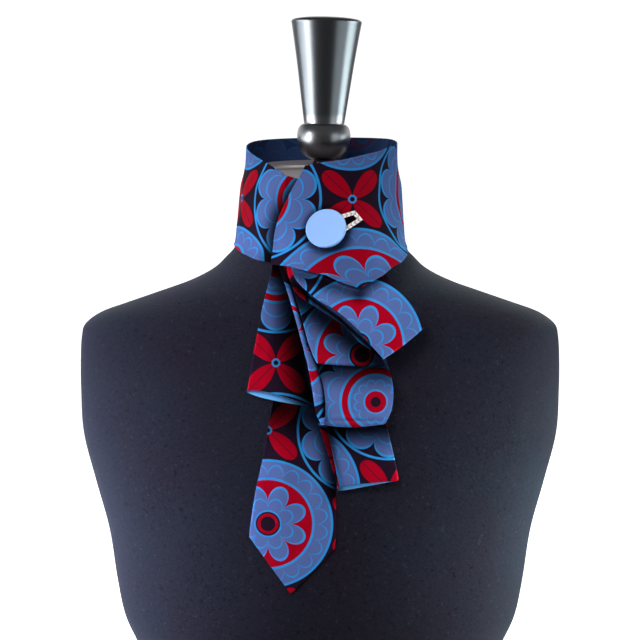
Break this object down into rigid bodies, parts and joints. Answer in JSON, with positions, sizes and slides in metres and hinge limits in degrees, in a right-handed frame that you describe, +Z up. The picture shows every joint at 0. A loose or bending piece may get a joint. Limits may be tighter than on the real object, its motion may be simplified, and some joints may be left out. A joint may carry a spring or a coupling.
{
  "type": "bow collar on a dress form",
  "caption": "Tall printed silk neck band, overlapped and buttoned at the front over a folded bow with hanging tails, worn on a limbless shoulder form with a turned finial.",
  "frame": {"origin": "middle of the form's flat base, on the surface it stands on", "axes": "+Z up along the neck and finial, -Y out of the chest towards the viewer, +X towards the wearer's left shoulder, which is the viewer's right"},
  "size_m": [0.401, 0.216, 0.5488],
  "materials": {
    "printed_silk": "satin printed silk twill",
    "button_blue": "smooth pale blue",
    "loop_tape": "braided tape",
    "form_jersey": "dark stretched jersey",
    "plate_chrome": "polished",
    "finial_gloss": "black gloss lacquer"
  },
  "bodies": {
    "root": {"collar_band": "printed_silk", "long_blade": "printed_silk", "tail_pleat": "printed_silk", "tail": "printed_silk", "side_panel": "printed_silk", "lower_loop": "printed_silk", "upper_loop": "printed_silk", "wing_loop": "printed_silk", "button": "button_blue", "button_loop": "loop_tape", "form_body": "form_jersey", "neck_plate": "plate_chrome", "finial": "finial_gloss"}
  },
  "joints": []
}
